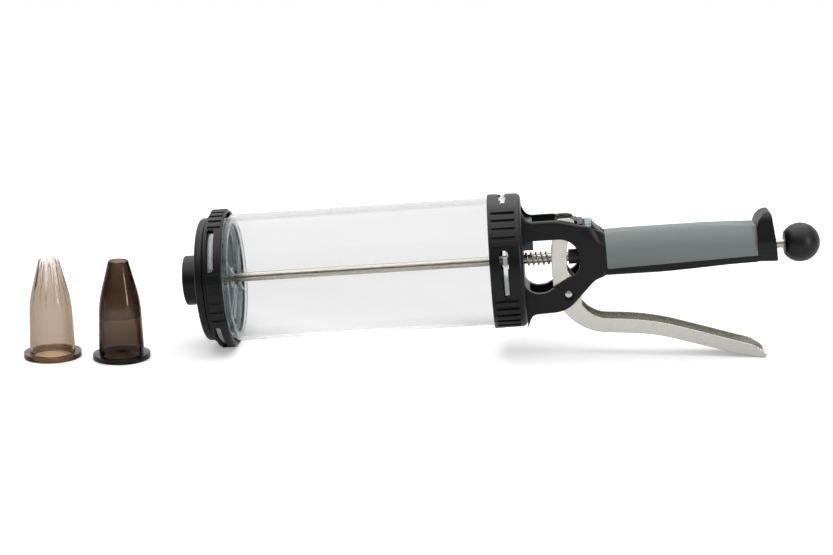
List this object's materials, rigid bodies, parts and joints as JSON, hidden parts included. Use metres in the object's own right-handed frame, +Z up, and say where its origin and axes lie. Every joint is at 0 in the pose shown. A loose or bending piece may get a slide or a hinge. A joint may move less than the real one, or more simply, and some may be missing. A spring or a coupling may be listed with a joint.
{
  "type": "pastry syringe",
  "caption": "Lever-driven pastry syringe with a clear tank, bayonet ends, squeeze lever, ball-ended plunger rod, dose wheel and loose nozzles.",
  "frame": {"origin": "centre of the whole object's footprint box, on the floor it lies and stands on", "axes": "+X from the nose to the ball knob, +Z up, the loose nozzles stand on the -Y side of the nose"},
  "size_m": [0.5102, 0.0956, 0.1033],
  "materials": {
    "black_plastic": "moulded, satin",
    "ball_plastic": "moulded, matte",
    "grey_rubber": "soft touch, matte",
    "clear_plastic": "clear, glossy",
    "blue_grey_plastic": "translucent",
    "slate_plastic": "satin",
    "seal_rubber": "soft, satin",
    "steel": "drawn",
    "polished_steel": "polished",
    "brown_plastic": "translucent dark brown",
    "smoke_plastic": "translucent smoke"
  },
  "bodies": {
    "body": {"rear_collar": "black_plastic", "collar_screws": "steel", "frame": "black_plastic", "grip_insert": "grey_rubber", "handle_cap": "black_plastic", "rear_bush": "slate_plastic", "end_bush": "slate_plastic", "front_guide": "slate_plastic", "lever_pin": "polished_steel", "pin_clip": "steel", "return_spring": "steel", "brake_spring": "steel"},
    "tank": {"tank_tube": "clear_plastic", "nose_cap": "black_plastic", "seal_plate": "black_plastic", "cap_screws": "steel", "front_gasket": "seal_rubber"},
    "bayonet_ring": {"nose_ring": "black_plastic"},
    "plunger": {"plunger_rod": "steel", "piston": "blue_grey_plastic", "piston_seal": "seal_rubber", "piston_washer": "steel", "piston_nut": "steel", "ball_knob": "ball_plastic"},
    "squeeze_lever": {"lever": "polished_steel"},
    "drive": {"drive_plate": "steel"},
    "brake": {"brake_plate": "steel"},
    "dose_nut": {"dose_wheel": "slate_plastic"},
    "dose_shoe": {"stop_shoe": "black_plastic", "dose_screw": "steel"},
    "plain_tip": {"plain_nozzle": "brown_plastic"},
    "star_tip": {"star_nozzle": "smoke_plastic"}
  },
  "joints": [
    {"name": "tank_turn", "type": "hinge", "parent": "body", "child": "tank", "pos_m": [-0.02318, 0.00252, 0.05368], "axis": [-0.997, 0, -0.0775], "range_deg": [0, 40]},
    {"name": "nose_ring_turn", "type": "hinge", "parent": "tank", "child": "bayonet_ring", "pos_m": [-0.12288, 0.00252, 0.04593], "axis": [-0.997, 0, -0.0775], "range_deg": [0, 40]},
    {"name": "plunger_slide", "type": "slide", "parent": "body", "child": "plunger", "axis": [0.997, 0, 0.0775], "range_m": [0, 0.165]},
    {"name": "lever_squeeze", "type": "hinge", "parent": "body", "child": "squeeze_lever", "pos_m": [0.09548, 0.00252, 0.04073], "axis": [0, -1, 0], "range_deg": [0, 16], "stiffness_Nm_per_rad": 2, "springref_deg": -20.05, "deforming": ["return_spring"]},
    {"name": "drive_slide", "type": "slide", "parent": "body", "child": "drive", "axis": [-0.997, 0, -0.0775], "range_m": [0, 0.00422]},
    {"name": "brake_tilt", "type": "hinge", "parent": "body", "child": "brake", "pos_m": [0.12609, 0.00252, 0.05855], "axis": [0, -1, 0], "range_deg": [0, 2.5], "stiffness_Nm_per_rad": 0.2, "springref_deg": -5.73},
    {"name": "dose_wheel_turn", "type": "hinge", "parent": "body", "child": "dose_nut", "pos_m": [0.10747, 0.00252, 0.07937], "axis": [0.997, 0, 0.0775], "range_deg": [0, 900]},
    {"name": "dose_shoe_slide", "type": "slide", "parent": "body", "child": "dose_shoe", "axis": [-0.997, 0, -0.0775], "range_m": [0, 0.0045]},
    {"name": "plain_nozzle_lift", "type": "slide", "parent": "body", "child": "plain_tip", "axis": [0, 0, 1], "range_m": [0, 0.1]},
    {"name": "star_nozzle_lift", "type": "slide", "parent": "body", "child": "star_tip", "axis": [0, 0, 1], "range_m": [0, 0.1]}
  ],
  "couplings": [
    {"joint": "drive_slide", "follows": "lever_squeeze", "m_per_rad": 0.0151},
    {"joint": "dose_wheel_turn", "follows": "dose_shoe_slide", "rad_per_m": 3490.6}
  ]
}
